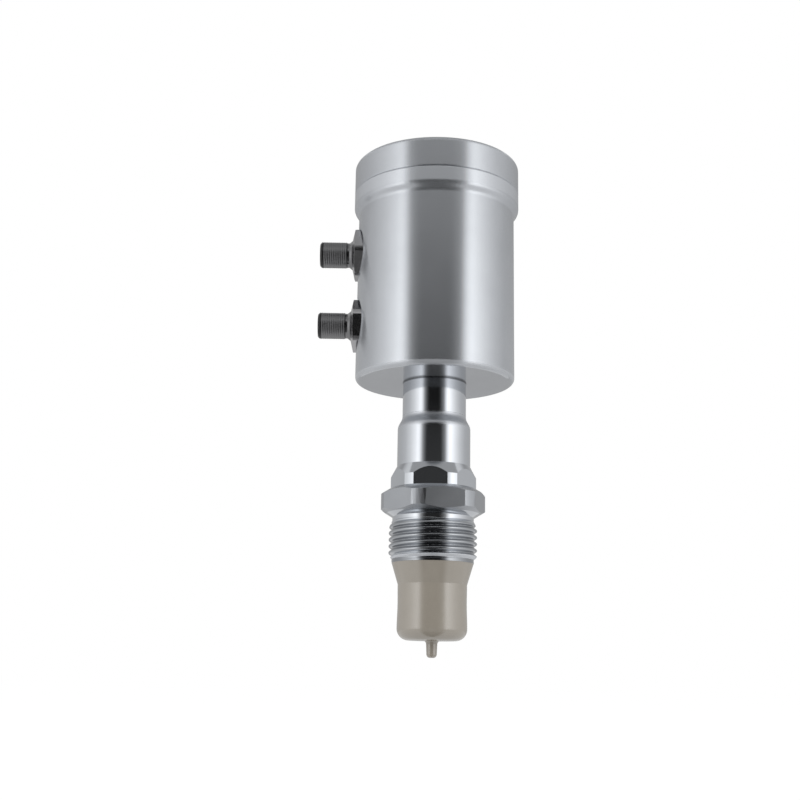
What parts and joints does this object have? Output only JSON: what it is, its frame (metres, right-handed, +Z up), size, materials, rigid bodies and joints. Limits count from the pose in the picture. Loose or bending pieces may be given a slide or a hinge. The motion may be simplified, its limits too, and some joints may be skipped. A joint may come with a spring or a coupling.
{
  "type": "impedance level sensor",
  "caption": "Impedance level sensor: steel head with screw lid and side plugs, neck, hexagons, threaded process gland and plastic sensing tip.",
  "frame": {"origin": "on the sensor's axis, at the foot of the large hexagon, where its bevel meets the relief above the thread", "axes": "+Z up the axis from the sensing tip to the lid; -X is the way both plug connectors point; +Y is across the head"},
  "size_m": [0.092, 0.0766, 0.2257],
  "materials": {
    "satin_steel": "fine turned stainless steel, satin",
    "polished_steel": "turned and polished stainless steel",
    "tip_plastic": "beige grey PEEK, turned",
    "electrode_steel": "plain stainless steel",
    "white_plastic": "white PTFE",
    "seal_rubber": "black rubber",
    "lead_jacket": "brown lead jacket",
    "carrier_plastic": "dark grey moulded plastic",
    "zinc_steel": "zinc plated steel",
    "board_green": "green solder mask on board",
    "black_plastic": "black moulded plastic",
    "gold_contact": "gold plated contact",
    "nickel_plate": "dark nickel plated brass",
    "button_plastic": "blue moulded plastic",
    "lamp_plastic": "clear tinted resin"
  },
  "bodies": {
    "sensor": {"housing": "satin_steel", "neck_tube": "polished_steel", "sensor_body": "polished_steel", "process_gland": "polished_steel", "sensing_tip": "tip_plastic", "measuring_electrode": "electrode_steel", "electrode_insulator": "white_plastic", "guard_electrode": "electrode_steel", "tip_seal": "seal_rubber", "body_seal": "seal_rubber", "signal_lead": "lead_jacket", "lead_bush": "seal_rubber", "board_carrier": "carrier_plastic", "carrier_screws": "zinc_steel", "main_board": "board_green", "board_screws": "zinc_steel", "board_parts": "black_plastic", "link_header": "black_plastic", "link_pins": "gold_contact", "panel_board": "board_green", "panel_screws": "zinc_steel", "switch_base": "black_plastic", "status_lamps": "lamp_plastic", "upper_plug_shell": "nickel_plate", "upper_plug_insert": "black_plastic", "upper_plug_contacts": "gold_contact", "upper_plug_seal": "seal_rubber", "upper_plug_nut": "nickel_plate", "lower_plug_shell": "nickel_plate", "lower_plug_insert": "black_plastic", "lower_plug_contacts": "gold_contact", "lower_plug_seal": "seal_rubber", "lower_plug_nut": "nickel_plate"},
    "lid_lift": {"lid_seal": "seal_rubber"},
    "lid": {"lid": "satin_steel"},
    "setting_button": {"setting_button": "button_plastic"}
  },
  "joints": [
    {"name": "lid_lift", "type": "slide", "parent": "sensor", "child": "lid_lift", "axis": [0, 0, 1], "range_m": [0, 0.009]},
    {"name": "lid_turn", "type": "hinge", "parent": "lid_lift", "child": "lid", "pos_m": [0, 0, 0.15122], "axis": [0, 0, 1], "range_deg": [0, 1620]},
    {"name": "button_press", "type": "slide", "parent": "sensor", "child": "setting_button", "axis": [0, 0, -1], "range_m": [0, 0.001], "stiffness_N_per_m": 200, "springref_m": -0.001}
  ],
  "couplings": [
    {"joint": "lid_lift", "follows": "lid_turn", "m_per_rad": 0.0003183}
  ]
}
